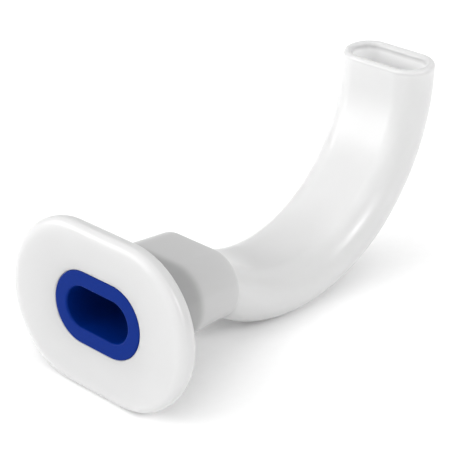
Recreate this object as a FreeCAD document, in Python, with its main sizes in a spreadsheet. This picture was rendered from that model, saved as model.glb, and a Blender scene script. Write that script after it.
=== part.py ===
import FreeCAD, Part
import math
import os
import Sketcher
from FreeCAD import Rotation, Vector

# Oropharyngeal airway of the Guedel type, nominal length 50 mm, in its natural resting pose.
# Each sub-part is drawn about the neck: x runs along the neck into the mouth from the outer
# face of the flange, y is the width, z points to the side that the tube curves towards.
# The Placement then leans the whole airway onto its flange edge and the belly of its curve.

doc = FreeCAD.newDocument("OropharyngealAirway")


# Driving sizes in millimetres and degrees

SIZES = (
    ("flange_width", 26.4),
    ("flange_height", 19.0),
    ("flange_thickness", 2.3),
    ("flange_side_radius", 9.6),
    ("flange_corner_radius", 8.9),
    ("flange_rim_radius", 1.1),
    ("neck_root_width", 14.9),
    ("neck_root_height", 9.1),
    ("neck_end_width", 13.5),
    ("neck_end_height", 8.0),
    ("neck_length", 13.5),
    ("neck_root_fillet", 0.8),
    ("shoulder_rounding", 0.4),
    ("tube_width", 12.3),
    ("tube_height", 6.4),
    ("tube_wall", 1.0),
    ("tube_axis_drop", 0.7),
    ("tube_dip_angle", 27.0),
    ("tube_straight_run", 3.3),
    ("tube_curve_radius", 20.9),
    ("tube_end_angle", 97.0),
    ("tube_root_embed", 1.8),
    ("tip_rounding", 0.45),
    ("collar_width", 12.9),
    ("collar_height", 8.5),
    ("collar_thickness", 1.5),
    ("dish_depth", 0.4),
    ("dish_land", 0.2),
    ("dish_edge_rounding", 0.12),
    ("collar_edge_rounding", 0.15),
    ("slot_width", 9.2),
    ("slot_height", 4.8),
    ("slot_lip_rounding", 0.25),
    ("sleeve_wall", 0.9),
    ("sleeve_end_gap", 6.5),
    ("sleeve_end_rounding", 0.3),
)

# Lengths and places that follow from the driving sizes
DERIVED = (
    ("neck_end_x", "=Sizes.flange_thickness + Sizes.neck_length"),
    ("sleeve_end_x", "=neck_end_x - Sizes.sleeve_end_gap"),
    ("sleeve_width", "=Sizes.slot_width + 2 * Sizes.sleeve_wall"),
    ("sleeve_height", "=Sizes.slot_height + 2 * Sizes.sleeve_wall"),
    ("dish_width", "=Sizes.flange_width - 2 * (Sizes.flange_rim_radius + Sizes.dish_land)"),
    ("dish_height", "=Sizes.flange_height - 2 * (Sizes.flange_rim_radius + Sizes.dish_land)"),
    ("collar_seat_depth", "=Sizes.dish_depth + Sizes.collar_thickness"),
    ("lumen_width", "=Sizes.tube_width - 2 * Sizes.tube_wall"),
    ("lumen_height", "=Sizes.tube_height - 2 * Sizes.tube_wall"),
    ("bend_x", "=neck_end_x + Sizes.tube_straight_run * cos(Sizes.tube_dip_angle * 1deg)"),
    ("bend_z", "=-Sizes.tube_axis_drop - Sizes.tube_straight_run * sin(Sizes.tube_dip_angle * 1deg)"),
    ("arc_centre_x", "=bend_x + Sizes.tube_curve_radius * sin(Sizes.tube_dip_angle * 1deg)"),
    ("arc_centre_z", "=bend_z + Sizes.tube_curve_radius * cos(Sizes.tube_dip_angle * 1deg)"),
    ("belly_radius", "=Sizes.tube_curve_radius + Sizes.tube_height / 2"),
    ("heel_x", "=Sizes.flange_thickness - Sizes.flange_rim_radius"),
    ("heel_z", "=Sizes.flange_rim_radius - Sizes.flange_height / 2"),
    ("reach_x", "=arc_centre_x - heel_x"),
    ("reach_z", "=arc_centre_z - heel_z"),
    ("reach", "=sqrt(reach_x ^ 2 + reach_z ^ 2)"),
    ("rest_sine", "=(belly_radius - Sizes.flange_rim_radius) / reach"),
    ("rest_tilt", "=(atan(reach_z / reach_x) - asin(rest_sine)) / 1deg"),
    ("toe_x", "=Sizes.flange_rim_radius * cos(rest_tilt * 1deg) + heel_z * sin(rest_tilt * 1deg)"),
    ("front_x", "=toe_x - Sizes.flange_rim_radius"),
    ("centre_x", "=arc_centre_x * cos(rest_tilt * 1deg) + arc_centre_z * sin(rest_tilt * 1deg)"),
    ("centre_z", "=arc_centre_z * cos(rest_tilt * 1deg) - arc_centre_x * sin(rest_tilt * 1deg)"),
    ("shift_x", "=-(front_x + centre_x + belly_radius) / 2"),
    ("shift_z", "=belly_radius - centre_z"),
)


def fill_sheet(sheet, rows):
    """Write each name, its value or formula and its alias on a line of its own."""
    for line, (alias, content) in enumerate(rows, start=1):
        sheet.set("A%d" % line, alias)
        sheet.set("B%d" % line, str(content))
        sheet.setAlias("B%d" % line, alias)


sizes = doc.addObject("Spreadsheet::Sheet", "Sizes")
derived = doc.addObject("Spreadsheet::Sheet", "Derived")
fill_sheet(sizes, SIZES)
doc.recompute()
fill_sheet(derived, DERIVED)
doc.recompute()


def size(alias):
    """A driving or derived value as a plain number."""
    sheet = sizes if alias in dict(SIZES) else derived
    return float(getattr(sheet, alias))


# Sketch helpers

def new_sketch(body, name, role):
    """A sketch on one of the body's own origin planes."""
    sketch = body.newObject("Sketcher::SketchObject", name)
    plane = [p for p in body.Origin.OriginFeatures if p.Role == role][0]
    sketch.AttachmentSupport = [(plane, "")]
    sketch.MapMode = "FlatFace"
    return sketch


def name_constraint(sketch, constraint, label, expression):
    """Add a dimension, name it and bind it to the sheets."""
    index = sketch.addConstraint(constraint)
    sketch.renameConstraint(index, label)
    sketch.setExpression("Constraints." + label, expression)


def stadium(body, name, width, height, width_size, height_size, offset=None):
    """A stadium across the neck: two flats joined by half circles, centred on the axis.

    width and height are expressions, width_size and height_size their present values,
    and offset an expression for the distance of the plane from the flange face.
    """
    sketch = new_sketch(body, name, "YZ_Plane")
    if offset:
        sketch.setExpression("AttachmentOffset.Base.z", offset)
    bow = height_size / 2
    side = width_size / 2 - bow
    right = Part.Circle(Vector(side, 0, 0), Vector(0, 0, 1), bow)
    left = Part.Circle(Vector(-side, 0, 0), Vector(0, 0, 1), bow)
    sketch.addGeometry(Part.ArcOfCircle(right, -math.pi / 2, math.pi / 2))
    sketch.addGeometry(Part.LineSegment(Vector(side, bow, 0), Vector(-side, bow, 0)))
    sketch.addGeometry(Part.ArcOfCircle(left, math.pi / 2, 3 * math.pi / 2))
    sketch.addGeometry(Part.LineSegment(Vector(-side, -bow, 0), Vector(side, -bow, 0)))
    for edge, following in ((0, 1), (1, 2), (2, 3), (3, 0)):
        sketch.addConstraint(Sketcher.Constraint("Tangent", edge, 2, following, 1))
    sketch.addConstraint(Sketcher.Constraint("Horizontal", 1))
    sketch.addConstraint(Sketcher.Constraint("Horizontal", 3))
    sketch.addConstraint(Sketcher.Constraint("Symmetric", 0, 3, 2, 3, -1, 1))
    name_constraint(sketch, Sketcher.Constraint("Diameter", 0, 2 * bow), "Height", height)
    spread = Sketcher.Constraint("DistanceX", 2, 3, 0, 3, 2 * side)
    name_constraint(sketch, spread, "Spread", "%s - (%s)" % (width, height))
    return sketch


def tilted_stadium(body, name, width, height, width_size, height_size, along):
    """A stadium square to the dipping start of the tube, along millimetres from the neck's end."""
    sketch = stadium(body, name, width, height, width_size, height_size)
    sketch.AttachmentOffset = FreeCAD.Placement(Vector(), Rotation(Vector(1, 0, 0), 1))
    dip = "Sizes.tube_dip_angle * 1deg"
    sketch.setExpression("AttachmentOffset.Rotation.Angle", dip)
    sketch.setExpression("AttachmentOffset.Base.y", "-Sizes.tube_axis_drop - (%s) * sin(%s)" % (along, dip))
    sketch.setExpression("AttachmentOffset.Base.z", "Derived.neck_end_x + (%s) * cos(%s)" % (along, dip))
    return sketch


def flange_outline(body):
    """Short flats above and below, broad side arcs, and corner arcs tangent to both."""
    sketch = new_sketch(body, "FlangeOutline", "YZ_Plane")
    half_height = size("flange_height") / 2
    side_radius = size("flange_side_radius")
    corner_radius = size("flange_corner_radius")
    side = size("flange_width") / 2 - side_radius
    lift = half_height - corner_radius
    corner = side + math.sqrt((side_radius - corner_radius) ** 2 - lift ** 2)
    turn = math.atan2(lift, corner - side)
    quarter = math.pi / 2

    def arc(x, y, radius, first, last):
        circle = Part.Circle(Vector(x, y, 0), Vector(0, 0, 1), radius)
        sketch.addGeometry(Part.ArcOfCircle(circle, first, last))

    arc(side, 0, side_radius, -turn, turn)
    arc(corner, lift, corner_radius, turn, quarter)
    sketch.addGeometry(Part.LineSegment(Vector(corner, half_height, 0), Vector(-corner, half_height, 0)))
    arc(-corner, lift, corner_radius, quarter, 2 * quarter - turn)
    arc(-side, 0, side_radius, 2 * quarter - turn, 2 * quarter + turn)
    arc(-corner, -lift, corner_radius, 2 * quarter + turn, 3 * quarter)
    sketch.addGeometry(Part.LineSegment(Vector(-corner, -half_height, 0), Vector(corner, -half_height, 0)))
    arc(corner, -lift, corner_radius, 3 * quarter, 4 * quarter - turn)
    for edge in range(8):
        sketch.addConstraint(Sketcher.Constraint("Tangent", edge, 2, (edge + 1) % 8, 1))
    sketch.addConstraint(Sketcher.Constraint("Horizontal", 2))
    sketch.addConstraint(Sketcher.Constraint("Horizontal", 6))
    for corner_arc in (3, 5, 7):
        sketch.addConstraint(Sketcher.Constraint("Equal", 1, corner_arc))
    sketch.addConstraint(Sketcher.Constraint("Equal", 0, 4))
    sketch.addConstraint(Sketcher.Constraint("Symmetric", 0, 3, 4, 3, -1, 1))
    sketch.addConstraint(Sketcher.Constraint("PointOnObject", 0, 3, -1))
    top = Sketcher.Constraint("DistanceY", -1, 1, 2, 1, half_height)
    name_constraint(sketch, top, "TopFlat", "Sizes.flange_height / 2")
    bottom = Sketcher.Constraint("DistanceY", 6, 1, -1, 1, half_height)
    name_constraint(sketch, bottom, "BottomFlat", "Sizes.flange_height / 2")
    sides = Sketcher.Constraint("Radius", 0, side_radius)
    name_constraint(sketch, sides, "SideRadius", "Sizes.flange_side_radius")
    corners = Sketcher.Constraint("Radius", 1, corner_radius)
    name_constraint(sketch, corners, "CornerRadius", "Sizes.flange_corner_radius")
    centre = Sketcher.Constraint("DistanceX", -1, 1, 0, 3, side)
    name_constraint(sketch, centre, "SideCentre", "Sizes.flange_width / 2 - Sizes.flange_side_radius")
    return sketch


def tube_path(body, name, lead, past_tip):
    """The tube's centre line: a short dipping run, then one arc up to the tip.

    lead is how far the run starts before the neck's end, past_tip how far in degrees the
    arc goes on beyond the tip.
    """
    sketch = new_sketch(body, name, "XZ_Plane")
    dip = math.radians(size("tube_dip_angle"))
    last = math.radians(size("tube_end_angle") + past_tip)
    radius = size("tube_curve_radius")
    start = Vector(size("neck_end_x") - lead * math.cos(dip), lead * math.sin(dip) - size("tube_axis_drop"), 0)
    bend = Vector(size("bend_x"), size("bend_z"), 0)
    centre = Vector(size("arc_centre_x"), size("arc_centre_z"), 0)
    sketch.addGeometry(Part.LineSegment(start, bend))
    circle = Part.Circle(centre, Vector(0, 0, 1), radius)
    sketch.addGeometry(Part.ArcOfCircle(circle, -math.pi / 2 - dip, last - math.pi / 2))
    sketch.addConstraint(Sketcher.Constraint("Coincident", 0, 2, 1, 1))
    places = (
        ("StartX", "DistanceX", (-1, 1, 0, 1), start.x, "Derived.neck_end_x - (%s) * cos(Sizes.tube_dip_angle * 1deg)"),
        ("StartZ", "DistanceY", (0, 1, -1, 1), -start.y, "Sizes.tube_axis_drop - (%s) * sin(Sizes.tube_dip_angle * 1deg)"),
    )
    for label, kind, points, value, expression in places:
        lead_text = "Sizes.tube_root_embed" if lead else "0"
        name_constraint(sketch, Sketcher.Constraint(kind, *points, value), label, expression % lead_text)
    bend_x = Sketcher.Constraint("DistanceX", -1, 1, 0, 2, bend.x)
    name_constraint(sketch, bend_x, "BendX", "Derived.bend_x")
    bend_z = Sketcher.Constraint("DistanceY", 0, 2, -1, 1, -bend.y)
    name_constraint(sketch, bend_z, "BendZ", "-Derived.bend_z")
    centre_x = Sketcher.Constraint("DistanceX", -1, 1, 1, 3, centre.x)
    name_constraint(sketch, centre_x, "CentreX", "Derived.arc_centre_x")
    centre_z = Sketcher.Constraint("DistanceY", -1, 1, 1, 3, centre.y)
    name_constraint(sketch, centre_z, "CentreZ", "Derived.arc_centre_z")
    sweep = Sketcher.Constraint("Angle", 1, dip + last)
    turn = "(Sizes.tube_dip_angle + Sizes.tube_end_angle + %g) * 1deg" % past_tip
    name_constraint(sketch, sweep, "Sweep", turn)
    return sketch


# Feature helpers

def pocket(body, name, profile, length):
    """Cut a profile into the neck from its own plane, away from the flange face."""
    cut = body.newObject("PartDesign::Pocket", name)
    cut.Profile = profile
    cut.Reversed = True
    cut.setExpression("Length", length)
    return cut


def pad(body, name, profile, length):
    """Raise a profile along the neck."""
    block = body.newObject("PartDesign::Pad", name)
    block.Profile = profile
    block.setExpression("Length", length)
    return block


def sweep(body, kind, name, profile, spine):
    """Run a profile along a path, square to it."""
    pipe = body.newObject(kind, name)
    pipe.Profile = profile
    pipe.Spine = spine
    pipe.Mode = "Standard"
    return pipe


def fillet(body, name, wanted, radius):
    """Round the edges of the body so far for which wanted is true."""
    doc.recompute()
    base = body.Tip
    edges = ["Edge%d" % (i + 1) for i, edge in enumerate(base.Shape.Edges) if wanted(edge)]
    rounding = body.newObject("PartDesign::Fillet", name)
    rounding.Base = (base, edges)
    rounding.setExpression("Radius", radius)
    doc.recompute()
    return rounding


def across(edge, x):
    """True for an edge that lies in the plane at x."""
    box = edge.BoundBox
    return abs(box.XMin - x) < 1e-3 and abs(box.XMax - x) < 1e-3


def settle(body):
    """Lean the body from the neck's frame into the resting pose, origin under its middle."""
    body.Placement = FreeCAD.Placement(Vector(), Rotation(Vector(0, 1, 0), 1))
    body.setExpression("Placement.Rotation.Angle", "Derived.rest_tilt * 1deg")
    body.setExpression("Placement.Base.x", "Derived.shift_x")
    body.setExpression("Placement.Base.z", "Derived.shift_z")


# Airway body: flange, neck and curved tube moulded in one

def make_airway_body():
    body = doc.addObject("PartDesign::Body", "airway_body")
    body.Label = "airway_body"

    # The flange plate with its fully rounded soft rim
    pad(body, "FlangePlate", flange_outline(body), "Sizes.flange_thickness")
    fillet(body, "FlangeRim", lambda e: across(e, 0) or across(e, size("flange_thickness")),
           "Sizes.flange_rim_radius")

    # The neck tapers from the flange to the shoulder, as its mould needs
    root = stadium(body, "NeckRoot", "Sizes.neck_root_width", "Sizes.neck_root_height",
                   size("neck_root_width"), size("neck_root_height"), "Sizes.flange_thickness")
    end = stadium(body, "NeckEnd", "Sizes.neck_end_width", "Sizes.neck_end_height",
                  size("neck_end_width"), size("neck_end_height"), "Derived.neck_end_x")
    neck = body.newObject("PartDesign::AdditiveLoft", "Neck")
    neck.Profile = root
    neck.Sections = [end]
    neck.Ruled = True

    def neck_root_edge(edge):
        inside = edge.BoundBox.YLength < size("flange_width") * 0.7
        return across(edge, size("flange_thickness")) and inside and edge.BoundBox.ZMax < size("neck_root_height")

    fillet(body, "NeckRootFillet", neck_root_edge, "Sizes.neck_root_fillet")
    fillet(body, "Shoulder", lambda e: across(e, size("neck_end_x")), "Sizes.shoulder_rounding")

    # The curved tube, a flattened section that leaves the neck with a dip
    outer = tilted_stadium(body, "TubeSection", "Sizes.tube_width", "Sizes.tube_height",
                           size("tube_width"), size("tube_height"), "-Sizes.tube_root_embed")
    spine = tube_path(body, "TubePath", size("tube_root_embed"), 0)
    sweep(body, "PartDesign::AdditivePipe", "Tube", outer, spine)

    # The outer face is a shallow dish that runs down to the collar of the bite block
    dish_rim = stadium(body, "DishRim", "Derived.dish_width", "Derived.dish_height",
                       size("dish_width"), size("dish_height"))
    dish_floor = stadium(body, "DishFloor", "Sizes.collar_width", "Sizes.collar_height",
                         size("collar_width"), size("collar_height"), "Sizes.dish_depth")
    dish = body.newObject("PartDesign::SubtractiveLoft", "Dish")
    dish.Profile = dish_rim
    dish.Sections = [dish_floor]
    dish.Ruled = True

    # The seat of the bite block: a pocket for its collar and a bore for its sleeve
    seat = stadium(body, "CollarSeatOutline", "Sizes.collar_width", "Sizes.collar_height",
                   size("collar_width"), size("collar_height"))
    pocket(body, "CollarSeat", seat, "Derived.collar_seat_depth")
    bore = stadium(body, "SleeveBoreOutline", "Derived.sleeve_width", "Derived.sleeve_height",
                   size("sleeve_width"), size("sleeve_height"))
    pocket(body, "SleeveBore", bore, "Derived.sleeve_end_x")

    # The lumen leads on from the slot of the bite block and runs to the tip
    throat = stadium(body, "ThroatOutline", "Sizes.slot_width", "Sizes.slot_height",
                     size("slot_width"), size("slot_height"), "Derived.sleeve_end_x")
    inner = tilted_stadium(body, "LumenSection", "Derived.lumen_width", "Derived.lumen_height",
                           size("lumen_width"), size("lumen_height"), "0")
    throat_cut = body.newObject("PartDesign::SubtractiveLoft", "Throat")
    throat_cut.Profile = throat
    throat_cut.Sections = [inner]
    throat_cut.Ruled = True
    lumen_path = tube_path(body, "LumenPath", 0, 4)
    sweep(body, "PartDesign::SubtractivePipe", "Lumen", inner, lumen_path)

    # Rounded edges: the tip that slides over the tongue, and the dish's edge round the collar
    tip_angle = math.radians(size("tube_end_angle"))
    along = Vector(math.cos(tip_angle), 0, math.sin(tip_angle))
    centre = Vector(size("arc_centre_x"), 0, size("arc_centre_z"))

    def at_tip(edge):
        return all(abs((v.Point - centre).dot(along)) < 1e-3 and v.Point.x > centre.x for v in edge.Vertexes)

    fillet(body, "TipRounding", at_tip, "Sizes.tip_rounding")

    fillet(body, "DishEdge", lambda e: across(e, size("dish_depth")), "Sizes.dish_edge_rounding")
    settle(body)
    return body


# Bite block: rigid blue insert with a collar, a sleeve and a slot right through

def make_bite_block():
    body = doc.addObject("PartDesign::Body", "bite_block")
    body.Label = "bite_block"
    collar = stadium(body, "CollarOutline", "Sizes.collar_width", "Sizes.collar_height",
                     size("collar_width"), size("collar_height"), "Sizes.dish_depth")
    pad(body, "Collar", collar, "Sizes.collar_thickness")
    sleeve = stadium(body, "SleeveOutline", "Derived.sleeve_width", "Derived.sleeve_height",
                     size("sleeve_width"), size("sleeve_height"), "Sizes.dish_depth")
    pad(body, "Sleeve", sleeve, "Derived.sleeve_end_x - Sizes.dish_depth")
    slot = stadium(body, "SlotOutline", "Sizes.slot_width", "Sizes.slot_height",
                   size("slot_width"), size("slot_height"), "Sizes.dish_depth")
    pocket(body, "Slot", slot, "Derived.sleeve_end_x - Sizes.dish_depth")
    slot_reach = size("slot_width") / 2 + 0.1

    def collar_front(edge):
        return across(edge, size("dish_depth")) and edge.BoundBox.YMax > slot_reach

    def slot_front(edge):
        return across(edge, size("dish_depth")) and edge.BoundBox.YMax < slot_reach

    fillet(body, "CollarEdge", collar_front, "Sizes.collar_edge_rounding")
    fillet(body, "SlotLip", slot_front, "Sizes.slot_lip_rounding")
    fillet(body, "SleeveEnd", lambda e: across(e, size("sleeve_end_x")) and e.BoundBox.YMax < slot_reach,
           "Sizes.sleeve_end_rounding")
    settle(body)
    return body


parts = [make_airway_body(), make_bite_block()]
doc.recompute()

for item in doc.Objects:
    faults = [word for word in item.State if word in ("Invalid", "Error")]
    if faults:
        raise RuntimeError("%s is %s" % (item.Name, ", ".join(faults)))
for part in parts:
    if part.Shape.isNull() or not part.Shape.isValid() or len(part.Shape.Solids) != 1:
        raise RuntimeError(part.Label + " has no single valid solid")

os.makedirs("parts", exist_ok=True)
for part in parts:
    part.Shape.exportStep(os.path.join("parts", part.Label + ".step"))
    box = part.Shape.BoundBox
    print(part.Label, "volume %.1f mm3" % part.Shape.Volume, box)
print("rest tilt %.2f degrees" % size("rest_tilt"))
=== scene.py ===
# %% [markdown]
# # An oropharyngeal airway on a white table
#
# The airway keeps a patient's tongue away from the back of the throat. It has two pieces: a soft
# body moulded in natural polyethylene, with a flange, a neck and a curved flat tube, and a rigid
# blue bite block pressed into the neck. Both are already solid models. Their triangles could be
# shown as they are, but here each one is drawn again as one smooth closed surface with about
# four times as many, so that highlights run clean, and gets the finish of its real plastic.

# %% Load the solids and keep their box
import math
import bpy
import numpy as np
from mathutils import Matrix, Vector


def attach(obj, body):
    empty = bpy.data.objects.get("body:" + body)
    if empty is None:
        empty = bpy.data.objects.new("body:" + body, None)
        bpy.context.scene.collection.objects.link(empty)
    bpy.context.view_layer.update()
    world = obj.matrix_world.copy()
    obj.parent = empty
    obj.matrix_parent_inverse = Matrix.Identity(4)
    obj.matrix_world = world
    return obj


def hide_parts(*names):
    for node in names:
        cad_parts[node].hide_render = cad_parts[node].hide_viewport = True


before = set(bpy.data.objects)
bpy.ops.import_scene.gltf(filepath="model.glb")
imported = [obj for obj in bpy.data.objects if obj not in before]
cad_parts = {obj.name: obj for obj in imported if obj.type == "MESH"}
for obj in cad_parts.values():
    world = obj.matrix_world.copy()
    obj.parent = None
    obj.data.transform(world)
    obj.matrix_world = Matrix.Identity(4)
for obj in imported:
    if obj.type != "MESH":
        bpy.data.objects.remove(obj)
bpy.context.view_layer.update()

# %% [markdown]
# ## The sizes
#
# Every size is a real one in millimetres. The shapes are drawn about the neck: x runs along the
# neck into the mouth from the outer face of the flange, y is the width and z points to the side
# that the tube curves towards. One function at the end leans them into the resting pose.
#
# Three sizes aren't in the solids. The front of the rim is rounded less deep than broad, because
# the bright line along it then falls where the photo has it. The root of the tube has a small
# fillet, because a moulded inner corner is never quite sharp. The press gap keeps the faces of
# the two pieces apart.

# %% Sizes in millimetres, and angles
FLANGE_WIDTH, FLANGE_HEIGHT, FLANGE_THICKNESS = 26.4, 19.0, 2.3
FLANGE_SIDE_RADIUS, FLANGE_CORNER_RADIUS = 9.6, 8.9
RIM_RADIUS, RIM_DEPTH = 1.1, 0.85
NECK_ROOT, NECK_END, NECK_END_X = (14.9, 9.1), (13.5, 8.0), 15.8
NECK_FILLET, SHOULDER_ROUNDING, TUBE_ROOT_FILLET = 0.8, 0.4, 0.25
TUBE, TUBE_WALL, TUBE_DROP = (12.3, 6.4), 1.0, 0.7
DIP, END_ANGLE = math.radians(27.0), math.radians(97.0)
STRAIGHT_RUN, CURVE_RADIUS, TIP_ROUNDING = 3.3, 20.9, 0.45
DISH_DEPTH, DISH_LAND, DISH_EDGE = 0.4, 0.2, 0.12
COLLAR, COLLAR_THICKNESS = (12.9, 8.5), 1.5
SLOT, SLEEVE_WALL, SLEEVE_END_X = (9.2, 4.8), 0.9, 9.3
COLLAR_ROUNDING, LIP_ROUNDING, SLEEVE_ROUNDING = 0.15, 0.25, 0.3
PRESS_GAP = 0.02
print("flange, mm:", FLANGE_WIDTH, "x", FLANGE_HEIGHT, " tube, mm:", TUBE, " slot, mm:", SLOT)

# %% [markdown]
# ## One way to draw every cross-section
#
# The flange, neck, collar, slot and tube all have the same kind of outline: two flats joined by
# two bows. If every outline uses the same number of points, and the same outward direction at
# each point, then a rounding is only a change of offset along that direction, and any outline
# can flow into any other. That is why the whole body can be one grid, without booleans.

# %% The outward directions shared by all outlines
BOW_STEPS, FLAT_STEPS = 72, 20


def shared_directions():
    """Angles that run over the right bow, the top flat, the left bow and the bottom flat."""
    bow = np.linspace(-90.0, 90.0, BOW_STEPS, endpoint=False)
    flat = np.full(FLAT_STEPS, 90.0)
    return np.radians(np.concatenate([bow, flat, bow + 180.0, flat + 180.0]))


DIRECTION = shared_directions()
OUTWARD = np.stack([np.cos(DIRECTION), np.sin(DIRECTION)], axis=1)
print("points around each section:", len(DIRECTION))

# %% Stadiums and the flange outline


def flat_run(half_flat):
    """Places along y: fixed on each bow, and running evenly across each flat."""
    bow = np.full(BOW_STEPS, half_flat)
    run = np.linspace(half_flat, -half_flat, FLAT_STEPS, endpoint=False)
    return np.concatenate([bow, run, -bow, -run])


def stadium(size):
    """Centre and radius at each point: half circles about two centres, and flats between them."""
    half_height = size[1] / 2
    centre = np.stack([flat_run(size[0] / 2 - half_height), np.zeros(len(DIRECTION))], axis=1)
    return centre, np.full(len(DIRECTION), half_height)


def flange_outline():
    """Bows of three arcs: a broad side arc, and a corner arc above and below, all tangent."""
    side = FLANGE_WIDTH / 2 - FLANGE_SIDE_RADIUS
    lift = FLANGE_HEIGHT / 2 - FLANGE_CORNER_RADIUS
    corner = side + math.sqrt((FLANGE_SIDE_RADIUS - FLANGE_CORNER_RADIUS) ** 2 - lift ** 2)
    slope = np.abs(OUTWARD[:, 1])
    in_corner = slope > math.sin(math.atan2(lift, corner - side))
    across = flat_run(corner)
    centre_y = np.where(in_corner, across, np.sign(across) * side)
    centre_z = np.where(in_corner, np.sign(OUTWARD[:, 1]) * lift, 0.0)
    radius = np.where(in_corner, FLANGE_CORNER_RADIUS, FLANGE_SIDE_RADIUS)
    return np.stack([centre_y, centre_z], axis=1), radius


def outline_points(outline, offset):
    """Points of an outline moved outwards: centre plus radius and offset along the direction."""
    centre, radius = outline
    reach = radius + np.atleast_1d(offset)[:, None]
    return centre + reach[..., None] * OUTWARD


print("flange as drawn, mm:", np.ptp(outline_points(flange_outline(), 0.0)[0], axis=0).round(3))

# %% Rings in space


def upright(x, points):
    """Rings about the neck at distances x from the flange's front, for each ring or each point."""
    x = np.atleast_1d(x)
    x = np.broadcast_to(x if x.ndim == 2 else x[:, None], points.shape[:2])
    return np.stack([x, points[..., 0], points[..., 1]], axis=2)


def tilted(centre, turn, points):
    """Rings in planes turned about y: their own z leans back by turn, about centre (x, z)."""
    centre, turn = np.atleast_2d(centre), np.atleast_1d(turn)[:, None]
    x = centre[:, :1] - points[..., 1] * np.sin(turn)
    z = centre[:, 1:] + points[..., 1] * np.cos(turn)
    return np.stack([x, points[..., 0], z], axis=2)


def between(first, last, steps):
    """Rings on a straight way from one ring to the next, without either of them."""
    share = np.linspace(0.0, 1.0, steps + 2)[1:-1, None, None]
    return first * (1 - share) + last * share


def quarter(radius, steps):
    """A quarter round: how far it has fallen and how far it still has to go, both from 0 to radius."""
    angle = np.linspace(0.0, math.pi / 2, steps + 1)
    return radius * (1 - np.cos(angle)), radius * (1 - np.sin(angle))


# %% [markdown]
# ## The tube's path
#
# The tube leaves the neck with a dip of 27 degrees, runs straight for a few millimetres and then
# follows one arc up to the tip. It could follow a free curve, but a straight piece and one arc
# already follow the tube's outlines in the photo closely, and they need only a few plain sizes.

# %% Path and section of the tube
BEND = np.array([NECK_END_X + STRAIGHT_RUN * math.cos(DIP),
                 -TUBE_DROP - STRAIGHT_RUN * math.sin(DIP)])
ARC_CENTRE = BEND + CURVE_RADIUS * np.array([math.sin(DIP), math.cos(DIP)])
TUBE_OUTLINE = stadium(TUBE)


def on_run(distance):
    """The point at a distance along the dipping straight run, from the end of the neck."""
    distance = np.atleast_1d(distance)[:, None]
    return np.array([NECK_END_X, -TUBE_DROP]) + distance * np.array([math.cos(DIP), -math.sin(DIP)])


def on_arc(angle):
    """The point of the arc where the path climbs at this angle: centre plus radius, turned."""
    return ARC_CENTRE + CURVE_RADIUS * np.stack([np.sin(angle), -np.cos(angle)], axis=1)


def tube_in_upright_plane(x, offset=0.0):
    """The slanted straight run cut by an upright plane: the section drawn out by 1 / cos(dip)."""
    points = outline_points(TUBE_OUTLINE, offset)
    height = -TUBE_DROP - (np.atleast_1d(x)[:, None] - NECK_END_X) * math.tan(DIP)
    z = points[..., 1] / math.cos(DIP) + height
    return np.stack(np.broadcast_arrays(points[..., 0], z), axis=2)


print("arc centre, mm:", ARC_CENTRE.round(2), " tip height above the neck's axis, mm:",
      round(float(on_arc(np.array([END_ANGLE]))[0, 1]), 2))

# %% [markdown]
# ## The airway body
#
# The rings go once round the wall: over the flange's dished face and its fully rounded rim, along
# the neck, over the shoulder, down the outside of the tube, round the tip, back through the
# lumen, the bore and the seat, and out at the dish. The last ring meets the first, so the surface
# is closed and has an inside, which light needs to scatter in it as in real polyethylene.
#
# The underside of the dipping tube stands a little proud of the neck's end, so the two run into
# each other there. The neck's last rings take whichever of the two surfaces lies further out.

# %% Outside of the body
COARSE_END, FINE_START = 2.4, 2.1
CROSSING_REACH, CROSSING_WIDTH = 1.5, 0.06
print("closer rings, mm before the neck's end:", FINE_START, " crossing:", CROSSING_REACH)


def blend_over(base, other, width):
    """The outer one of two rings at each point, with a soft crossing: a smooth maximum."""
    rise = ((other - base) * OUTWARD).sum(axis=2)
    return base + (0.5 * (rise + np.sqrt(rise ** 2 + width ** 2)))[..., None] * OUTWARD


def dish_rings():
    """From the collar's seat over a small round edge, up the dish's ruled slope to its rim.

    The slope at each point is the dish's depth over the way from the collar to the rim there.
    """
    margin = 2 * (RIM_RADIUS + DISH_LAND)
    rim = outline_points(stadium((FLANGE_WIDTH - margin, FLANGE_HEIGHT - margin)), 0)
    collar = stadium(COLLAR)
    way = ((rim - outline_points(collar, 0)) * OUTWARD).sum(axis=2)
    fall, rest = quarter(DISH_EDGE, 5)
    edge_x = DISH_DEPTH + rest[:, None] - fall[:, None] * DISH_DEPTH / way
    edge = upright(edge_x, outline_points(collar, fall))
    rim = upright(0.0, rim)
    return [edge, between(edge[-1:], rim, 9), rim]


def flange_rings():
    """Dished outer face, rounded rim and patient side, up to where the neck's root fillet starts."""
    outline = flange_outline()
    fall, rest = quarter(RIM_RADIUS, 14)
    front = upright(rest * RIM_DEPTH / RIM_RADIUS, outline_points(outline, -fall))[::-1]
    back = upright(FLANGE_THICKNESS - rest, outline_points(outline, -fall))
    root = upright(FLANGE_THICKNESS, outline_points(stadium(NECK_ROOT), NECK_FILLET))
    return [*dish_rings(), front, back, between(back[-1:], root, 4)]


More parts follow.
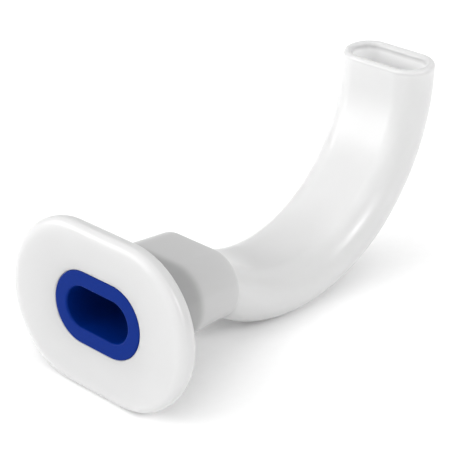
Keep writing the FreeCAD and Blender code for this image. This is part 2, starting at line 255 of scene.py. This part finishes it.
def neck_rings():
    """Root fillet, tapered neck, rounded shoulder edge, shoulder face and the tube's root.

    The neck's outline at a share of its length is that share of the way from its root's outline
    to its end's, and the roundings swell or shrink it by quarter rounds.
    """
    fall, rest = quarter(NECK_FILLET, 8)
    end_x = NECK_END_X
    last_x = end_x - SHOULDER_ROUNDING
    run = np.concatenate([np.linspace(FLANGE_THICKNESS + NECK_FILLET, end_x - COARSE_END, 24)[1:],
                          np.linspace(end_x - FINE_START, last_x, 13)[:-1]])
    edge_fall, edge_rest = quarter(SHOULDER_ROUNDING, 8)
    x = np.concatenate([FLANGE_THICKNESS + fall, run, end_x - edge_rest])
    swell = np.concatenate([rest, run * 0, -edge_fall])
    share = ((x - FLANGE_THICKNESS) / (end_x - FLANGE_THICKNESS))[:, None, None]
    first, last = outline_points(stadium(NECK_ROOT), 0), outline_points(stadium(NECK_END), 0)
    shape = first * (1 - share) + last * share
    shape = shape + swell[:, None, None] * OUTWARD
    near_tube = x > end_x - CROSSING_REACH
    tube_there = tube_in_upright_plane(x[near_tube])
    shape[near_tube] = blend_over(shape[near_tube], tube_there, CROSSING_WIDTH)
    neck = upright(x, shape)

    step = ((shape[-1] - tube_in_upright_plane(end_x)[0]) * OUTWARD).sum(axis=1)
    fillet = np.clip(step * 0.5, 0.0, TUBE_ROOT_FILLET)
    fall, rest = quarter(1.0, 6)
    x = end_x + fall * TUBE_ROOT_FILLET
    root = upright(x, tube_in_upright_plane(x) + (rest[:, None] * fillet)[..., None] * OUTWARD)
    return [neck, between(neck[-1:], root[:1], 3), root]


def tube_rings(first_run):
    """Straight run with planes turning square to it, then the arc, up to the tip's rounding."""
    run = np.linspace(first_run, STRAIGHT_RUN, 14)[1:]
    turn = -DIP * (run - first_run) / (STRAIGHT_RUN - first_run)
    points = outline_points(TUBE_OUTLINE, 0) * np.ones((len(run), 1, 1))
    points[..., 1] /= np.cos(turn + DIP)[:, None]
    straight = tilted(on_run(run), turn, points)
    last = END_ANGLE - TIP_ROUNDING / CURVE_RADIUS
    angle = np.linspace(-DIP, last, 150)[1:-1]
    arc = tilted(on_arc(angle), angle, outline_points(TUBE_OUTLINE, angle * 0))
    return [straight, arc]


# %% Tip and inside of the body
def tip_rings():
    """Outer rounding, narrow end face and inner rounding of the tip."""
    fall, rest = quarter(TIP_ROUNDING, 8)
    offset = np.concatenate([-fall, -TUBE_WALL + fall[::-1]])
    angle = END_ANGLE - np.concatenate([rest, rest[::-1]]) / CURVE_RADIUS
    return [tilted(on_arc(angle), angle, outline_points(TUBE_OUTLINE, offset))]


def lumen_rings():
    """The airway's passage from the tip back to the neck, then the ruled throat to the slot."""
    angle = np.linspace(END_ANGLE - TIP_ROUNDING / CURVE_RADIUS, -DIP, 100)[1:]
    arc = tilted(on_arc(angle), angle, outline_points(TUBE_OUTLINE, angle * 0 - TUBE_WALL))
    run = np.linspace(STRAIGHT_RUN, 0.0, 6)[1:]
    straight = tilted(on_run(run), run * 0 - DIP, outline_points(TUBE_OUTLINE, run * 0 - TUBE_WALL))
    slot = upright(SLEEVE_END_X, outline_points(stadium(SLOT), 0))
    return [arc, straight, between(straight[-1:], slot, 14), slot]


def seat_rings():
    """The step behind the sleeve, the sleeve's bore and the collar's seat, up to the dish."""
    slot, collar = stadium(SLOT), stadium(COLLAR)
    seat_x = DISH_DEPTH + COLLAR_THICKNESS
    bore_x = np.linspace(SLEEVE_END_X, seat_x, 16)
    bore = upright(bore_x, outline_points(slot, bore_x * 0 + SLEEVE_WALL))
    first = upright(SLEEVE_END_X, outline_points(slot, 0))
    wall_x = np.linspace(seat_x, DISH_DEPTH + DISH_EDGE, 6)[:-1]
    wall = upright(wall_x, outline_points(collar, wall_x * 0))
    return [between(first, bore[:1], 2), bore, between(bore[-1:], wall[:1], 2), wall]


# %% [markdown]
# ## From rings to a mesh, in the resting pose
#
# The airway isn't a thing that stands. Left alone it lies on the flange's lower edge and on the
# belly of its curve. The lean follows from the sizes: it is the angle at which a line touches
# the rim's small circle and the belly's large one from below.


# %% Resting pose
def resting_pose():
    """Lean and shift: both circles touch the table, and the middle of the length is at x = 0."""
    belly = CURVE_RADIUS + TUBE[1] / 2
    heel = np.array([FLANGE_THICKNESS - RIM_RADIUS, RIM_RADIUS - FLANGE_HEIGHT / 2])
    reach = ARC_CENTRE - heel
    lean = math.atan2(reach[1], reach[0]) - math.asin((belly - RIM_RADIUS) / math.hypot(*reach))
    cos, sin = math.cos(lean), math.sin(lean)
    front = RIM_RADIUS * cos + heel[1] * sin - RIM_RADIUS
    middle = ARC_CENTRE[0] * cos + ARC_CENTRE[1] * sin
    height = ARC_CENTRE[1] * cos - ARC_CENTRE[0] * sin
    return lean, np.array([-(front + middle + belly) / 2, 0.0, belly - height])


LEAN, SHIFT = resting_pose()
print("lean, degrees:", round(math.degrees(LEAN), 3), " shift, mm:", SHIFT.round(3))


def settle(points):
    """Turn points about y by the lean, shift them onto the table and give them in metres."""
    cos, sin = math.cos(LEAN), math.sin(LEAN)
    turn = np.array([[cos, 0, sin], [0, 1, 0], [-sin, 0, cos]])
    return (points @ turn.T + SHIFT) / 1000


# %% A closed grid as a mesh
SHARP_ANGLE = math.radians(40.0)


def signed_volume(points, faces):
    """Volume by the divergence theorem: a sixth of the triple products of all triangles."""
    a, b, c, d = (points[faces[:, k]] for k in range(4))
    total = (np.cross(a, b) * c).sum() + (np.cross(a, c) * d).sum()
    return total / 6


def closed_grid(name, rings):
    """A mesh of quads between neighbouring rings, where the last ring meets the first."""
    grid = settle(np.concatenate(rings))
    rows, around = grid.shape[:2]
    corner = np.arange(rows * around).reshape(rows, around)
    right, down = np.roll(corner, -1, axis=1), np.roll(corner, -1, axis=0)
    faces = np.stack([corner, right, np.roll(right, -1, axis=0), down], axis=2).reshape(-1, 4)
    points = grid.reshape(-1, 3)
    volume = signed_volume(points, faces)
    if volume < 0:
        faces = faces[:, ::-1]
    mesh = bpy.data.meshes.new(name)
    mesh.from_pydata(points, [], faces.tolist())
    mesh.polygons.foreach_set("use_smooth", np.ones(len(faces), dtype=bool))
    mesh.set_sharp_from_angle(angle=SHARP_ANGLE)
    mesh.update()
    obj = bpy.data.objects.new(name, mesh)
    bpy.context.scene.collection.objects.link(obj)
    print(name, "rings", rows, "quads", len(faces), "volume, mm3:", round(abs(volume) * 1e9, 1))
    return obj


# %% [markdown]
# ## How much light comes back: painted light and shade
#
# Polyethylene shows what is behind it. Over the blue sleeve the neck is darkest, behind the
# sleeve's end it is still drawn darker than the thin tube, and the flange is darkened a
# little round the collar. Light could be traced through the wall to find this, but that is slow
# and noisy, so each vertex keeps a painted level of how much light comes back there, from 0 to 1.
# The tube is painted darker near its root than towards the tip, and the tip's end darker than
# the tube beside it: painted shade.
#
# The passage is painted brighter than the outside, painted light, because the inside of the tip
# is as bright as the outside in the photo. All levels were fitted to the photo, and none of them
# is a measured property of the plastic.

# %% Painted levels and zones of light and shade
FLANGE_WHITE, SLEEVE_WHITE, NECK_WHITE = 0.545, 0.32, 0.48
TUBE_ROOT_PAINTED_SHADE, TIP_WHITE, END_PAINTED_SHADE, LUMEN_PAINTED_LIGHT = 0.57, 0.60, 0.52, 0.80
COLLAR_SHADE, COLLAR_SHADE_REACH = 0.06, 2.6
# For each zone: its painted level of light and shade, the x in millimetres where it begins and the x where
# it is reached
ZONES = ((SLEEVE_WHITE, FLANGE_THICKNESS - 0.9, FLANGE_THICKNESS + 0.4),
         (NECK_WHITE, SLEEVE_END_X - 0.7, SLEEVE_END_X + 0.7),
         # the tube's level at its root is painted shade, darker than the level reached towards the tip
         (TUBE_ROOT_PAINTED_SHADE, NECK_END_X - 0.5, NECK_END_X + 0.9),
         (TIP_WHITE, NECK_END_X + 2.0, NECK_END_X + 26.0))
print("levels along the airway:", FLANGE_WHITE, *[level for level, begin, reached in ZONES])


def smooth_step(value, low, high):
    """0 below low, 1 above high, and 3 t^2 - 2 t^3 between them."""
    t = np.clip((value - low) / (high - low), 0.0, 1.0)
    return t * t * (3 - 2 * t)


def painted_light_back(place):
    """Painted levels of light and shade: each zone flows into the next along x: flange, neck over the
    sleeve, neck, tube, tip.

    The flange loses a little, which falls off exponentially with the distance from the collar.
    """
    x, y, z = place.T
    beyond = np.hypot(np.maximum(np.abs(y) - (COLLAR[0] - COLLAR[1]) / 2, 0.0), z) - COLLAR[1] / 2
    white = FLANGE_WHITE - COLLAR_SHADE * np.exp(-np.maximum(beyond, 0.0) / COLLAR_SHADE_REACH)
    for level, begin, reached in ZONES:
        white = white + (level - white) * smooth_step(x, begin, reached)
    return white


# %% Make the airway body
outside = flange_rings() + neck_rings() + tube_rings(TUBE_ROOT_FILLET / math.cos(DIP))
end, inside = tip_rings(), lumen_rings() + seat_rings()
body = closed_grid("airway_body_moulding", outside + end + inside)
# painted levels of light and shade for every vertex, outside by zone, then the tip's end and the passage
white = painted_light_back(np.concatenate(outside).reshape(-1, 3))
# painted shade: the tip's end and its roundings are darker than the tube beside them
end_painted_shade = np.full(len(np.concatenate(end)) * len(DIRECTION), END_PAINTED_SHADE)
# painted light: the passage, bore and seat are brighter than the outside
inside_painted_light = np.full(len(np.concatenate(inside)) * len(DIRECTION), LUMEN_PAINTED_LIGHT)
white = np.concatenate([white, end_painted_shade, inside_painted_light])
body.data.attributes.new("painted_light_back", "FLOAT", "POINT").data.foreach_set("value", white)
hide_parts("airway_body")
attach(body, "root")

# %% [markdown]
# ## The bite block
#
# The block is one injection moulding with a slot right through it: the outsides of the sleeve
# and the collar are stadiums about the slot. It could be three extruded curves joined by booleans,
# but rings leave clean roundings and no seams. It is drawn two hundredths of a millimetre smaller
# than its seat, so that no two faces lie in the same place.


# %% Make the bite block
def bite_block_rings():
    """Round the wall: sleeve outside, collar back, side, face, slot lip, slot, sleeve end."""
    slot, collar = stadium(SLOT), stadium(COLLAR)
    back_x = DISH_DEPTH + COLLAR_THICKNESS
    sleeve_x = np.linspace(SLEEVE_END_X - PRESS_GAP, back_x, 24)
    sleeve = upright(sleeve_x, outline_points(slot, sleeve_x * 0 + SLEEVE_WALL - PRESS_GAP))
    fall, rest = quarter(COLLAR_ROUNDING, 8)
    side_x = np.linspace(back_x - PRESS_GAP, DISH_DEPTH + COLLAR_ROUNDING, 5)[:-1]
    side = upright(side_x, outline_points(collar, side_x * 0 - PRESS_GAP))
    edge = upright(DISH_DEPTH + rest, outline_points(collar, -PRESS_GAP - fall))
    fall, rest = quarter(LIP_ROUNDING, 8)
    lip = upright(DISH_DEPTH + fall, outline_points(slot, rest))
    wall_x = np.linspace(DISH_DEPTH + LIP_ROUNDING, SLEEVE_END_X - SLEEVE_ROUNDING, 30)[1:-1]
    wall = upright(wall_x, outline_points(slot, wall_x * 0))
    fall, rest = quarter(SLEEVE_ROUNDING, 6)
    end = upright(SLEEVE_END_X - PRESS_GAP - rest, outline_points(slot, fall))
    return [sleeve, between(sleeve[-1:], side[:1], 2), side, edge, between(edge[-1:], lip[:1], 4),
            lip, wall, end, between(end[-1:], sleeve[:1], 3)]


block = closed_grid("bite_block_moulding", bite_block_rings())
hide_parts("bite_block")
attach(block, "root")

# %% [markdown]
# ## Materials
#
# A material starts from what the plastic is. Colours are written as sRGB hex values, as in any
# colour chart, and turned to linear light by one function. Patterns follow object coordinates,
# which are in metres, so a pattern's scale is worked out from the real size of its cells.
#
# In a colour mix node, socket 0 is the factor and sockets 6 and 7 are the two colours.


# %% Helpers for materials
def linear(hex_code):
    """An sRGB hex value as linear RGB: each channel undone by the sRGB curve."""
    value = np.array([int(hex_code[k:k + 2], 16) for k in (1, 3, 5)]) / 255
    low, high = value / 12.92, ((value + 0.055) / 1.055) ** 2.4
    return (*np.where(value <= 0.04045, low, high).tolist(), 1.0)


def add_node(tree, kind, inputs=(), links=(), **settings):
    """Add one node: its settings, its input values by name, and its links (input, output)."""
    node = tree.nodes.new(kind)
    for key, value in settings.items():
        setattr(node, key, value)
    for key, value in dict(inputs).items():
        node.inputs[key].default_value = value
    for key, socket in dict(links).items():
        tree.links.new(socket, node.inputs[key])
    return node


def noise_scale(size):
    """The scale that gives a noise cells of a size in millimetres: 1000 divided by the size."""
    return 1000.0 / size


def new_material(name):
    """An empty node material with its output, and its object coordinates."""
    material = bpy.data.materials.new(name)
    material.use_nodes = True
    tree = material.node_tree
    tree.nodes.clear()
    output = tree.nodes.new("ShaderNodeOutputMaterial")
    place = add_node(tree, "ShaderNodeTexCoord").outputs["Object"]
    return material, tree, output, place


# %% [markdown]
# ### Natural low-density polyethylene, injection moulded
#
# Without a pigment, polyethylene is milky: light goes in, scatters between its crystals within
# a millimetre or two and comes out softened. It could be a clear plastic filled with a volume,
# which takes far longer to render without noise. So the colour comes from scattering below the
# surface, with a faint cloudiness a few millimetres across. The skin has copied a polished mould,
# which leaves an even, soft gloss, so one roughness does for all of it. A roughness that changes
# from place to place over the scattering draws blotches, and the photo has none.

# %% Polyethylene
CLOUD_SIZE, SCATTER_REACH = 5.0, 2.0


def natural_polyethylene():
    """A scattering body whose tone is a faint cloudiness times the painted light and shade that comes back.
    """
    material, tree, output, place = new_material("natural_polyethylene_moulded")
    cloud = add_node(tree, "ShaderNodeTexNoise", {"Scale": noise_scale(CLOUD_SIZE), "Detail": 0.0},
                     {"Vector": place})
    haze = add_node(tree, "ShaderNodeMix", {6: linear("#FCFCFC"), 7: linear("#FFFFFF")},
                    {0: cloud.outputs["Fac"]}, data_type="RGBA")
    # painted light and shade from each vertex, multiplied into the colour below
    back = add_node(tree, "ShaderNodeAttribute", attribute_name="painted_light_back").outputs["Fac"]
    tone = add_node(tree, "ShaderNodeMix", {0: 1.0}, {6: haze.outputs[2], 7: back},
                    data_type="RGBA", blend_type="MULTIPLY")
    skin = add_node(tree, "ShaderNodeBsdfPrincipled",
                    {"IOR": 1.51, "Roughness": 0.28, "Subsurface Weight": 1.0,
                     "Subsurface Radius": (1.0, 1.0, 1.0), "Subsurface Scale": SCATTER_REACH / 1000},
                    {"Base Color": tone.outputs[2]})
    tree.links.new(skin.outputs["BSDF"], output.inputs["Surface"])
    return material


body.data.materials.append(natural_polyethylene())
print("polyethylene: light scatters over mm:", SCATTER_REACH, " cloud cells, mm:", CLOUD_SIZE)

# %% [markdown]
# ### Blue polypropylene, injection moulded
#
# The bite block is pigmented all through, so almost nothing scatters. What shows is a deep body
# colour under a smooth skin. Such a mould has a very fine grain, about a tenth of a millimetre
# across, which is drawn nearly four times as coarse here. Even so it hardly shows at this size.
#
# Bare polypropylene would mirror more of the white room than the photo shows on this piece, so
# the strength of its reflection is set well below the usual value.

# %% Polypropylene
GRAIN_SIZE, GRAIN_HEIGHT = 0.385, 0.01


def blue_polypropylene():
    """A pigmented body: one noise, the mould's grain, sets its tone, its dullness and its relief."""
    material, tree, output, place = new_material("blue_polypropylene_moulded")
    grain = add_node(tree, "ShaderNodeTexNoise",
                     {"Scale": noise_scale(GRAIN_SIZE), "Detail": 3.0, "Roughness": 0.6},
                     {"Vector": place})
    tone = add_node(tree, "ShaderNodeMix", {6: linear("#001F68"), 7: linear("#002676")},
                    {0: grain.outputs["Fac"]}, data_type="RGBA")
    dull = add_node(tree, "ShaderNodeMapRange", {"To Min": 0.30, "To Max": 0.42},
                    {"Value": grain.outputs["Fac"]})
    relief = add_node(tree, "ShaderNodeBump", {"Strength": 0.3, "Distance": GRAIN_HEIGHT / 1000},
                      {"Height": grain.outputs["Fac"]})
    skin = add_node(tree, "ShaderNodeBsdfPrincipled", {"IOR": 1.49, "Specular IOR Level": 0.06},
                    {"Base Color": tone.outputs[2], "Roughness": dull.outputs["Result"],
                     "Normal": relief.outputs["Normal"]})
    tree.links.new(skin.outputs["BSDF"], output.inputs["Surface"])
    return material


block.data.materials.append(blue_polypropylene())
print("polypropylene: grain as drawn, mm:", GRAIN_SIZE, " relief, mm:", GRAIN_HEIGHT)

# %% [markdown]
# ## Table, light and camera
#
# Small medical goods are photographed in white surroundings, because a translucent piece takes
# its brightness from all round. A light tent could be built round it, but a bright, even world
# does the same work with less noise. Soft panels add the reflections that show the curves.

# %% White table
TABLE_WIDTH, FIBRE_SIZE = 3.0, 1.11


def white_table():
    """One square sheet at z = 0, in metres, far larger than the airway."""
    half = TABLE_WIDTH / 2
    corners = [(-half, -half, 0), (half, -half, 0), (half, half, 0), (-half, half, 0)]
    mesh = bpy.data.meshes.new("table")
    mesh.from_pydata(corners, [], [(0, 1, 2, 3)])
    table = bpy.data.objects.new("table", mesh)
    bpy.context.scene.collection.objects.link(table)
    material, tree, output, place = new_material("white_paper")
    fibre = add_node(tree, "ShaderNodeTexNoise", {"Scale": noise_scale(FIBRE_SIZE), "Detail": 2.0},
                     {"Vector": place})
    tone = add_node(tree, "ShaderNodeMix", {6: linear("#F8F8F8"), 7: linear("#FCFCFC")},
                    {0: fibre.outputs["Fac"]}, data_type="RGBA")
    paper = add_node(tree, "ShaderNodeBsdfPrincipled", {"Roughness": 0.9},
                     {"Base Color": tone.outputs[2]})
    tree.links.new(paper.outputs["BSDF"], output.inputs["Surface"])
    mesh.materials.append(material)
    print("table, m:", TABLE_WIDTH, "x", TABLE_WIDTH)


white_table()

# %% Light
ROOM_STRENGTH, AIM_HEIGHT = 0.60, 0.012
scene = bpy.context.scene
scene.view_settings.view_transform = "Standard"
world = bpy.data.worlds.new("white_room")
scene.world = world
world.use_nodes = True
world.node_tree.nodes["Background"].inputs["Color"].default_value = (1, 1, 1, 1)
world.node_tree.nodes["Background"].inputs["Strength"].default_value = ROOM_STRENGTH


def soft_panel(name, azimuth, elevation, width, height, power, distance=0.6):
    """A rectangular panel that faces the airway from an azimuth and an elevation in degrees.

    Its width, its height and its distance are in metres, and its power is in watts.
    """
    data = bpy.data.lights.new(name, "AREA")
    data.shape, data.size, data.size_y, data.energy = "RECTANGLE", width, height, power
    lamp = bpy.data.objects.new(name, data)
    turn, rise = math.radians(azimuth), math.radians(elevation)
    toward = Vector((math.cos(rise) * math.cos(turn), math.cos(rise) * math.sin(turn), math.sin(rise)))
    lamp.location = Vector((0, 0, AIM_HEIGHT)) + distance * toward
    lamp.rotation_euler = toward.to_track_quat("Z", "Y").to_euler()
    scene.collection.objects.link(lamp)


soft_panel("panel_left", 137, 15.5, 0.50, 0.26, 1.85)
soft_panel("panel_right", -80, 36, 0.16, 0.16, 0.95)
soft_panel("panel_side", -90, 35, 1.00, 0.60, 1.2, 0.9)
soft_panel("panel_front", 180, 27, 1.00, 0.50, 2.4, 0.9)
soft_panel("panel_back", 133, 60, 1.00, 0.80, 1.6, 0.9)
soft_panel("panel_over", 0, 90, 1.00, 1.00, 1.6, 0.9)
print("room strength:", ROOM_STRENGTH, " panels, W:", round(sum(lamp.energy for lamp in bpy.data.lights), 2))

# %% [markdown]
# The camera stands where the fit to the photo's outlines puts the photographer's: in front of the
# flange's outer face, well to one side, and looking down at 27 degrees. It is so near, 16
# centimetres from the flange and 19 from the tip, that the flange is drawn about a seventh larger
# for its size than the tip.

# %% Camera
SENSOR_WIDTH, LENS = 36.0, 122.791
CAMERA_PLACE = Vector((-0.12124001, -0.10321914, 0.09162057))
CAMERA_RIGHT = Vector((0.67227864, -0.74015032, 0.01479647))
CAMERA_UP = Vector((0.32691839, 0.3147541, 0.8910972))

camera_data = bpy.data.cameras.new("camera")
camera_data.sensor_width, camera_data.lens = SENSOR_WIDTH, LENS
camera = bpy.data.objects.new("camera", camera_data)
camera_axes = Matrix((CAMERA_RIGHT, CAMERA_UP, CAMERA_RIGHT.cross(CAMERA_UP))).transposed()
camera.matrix_world = Matrix.Translation(CAMERA_PLACE) @ camera_axes.to_4x4()
print("camera to the middle of the airway's footprint, m:", round(CAMERA_PLACE.length, 3))
scene.collection.objects.link(camera)
scene.camera = camera
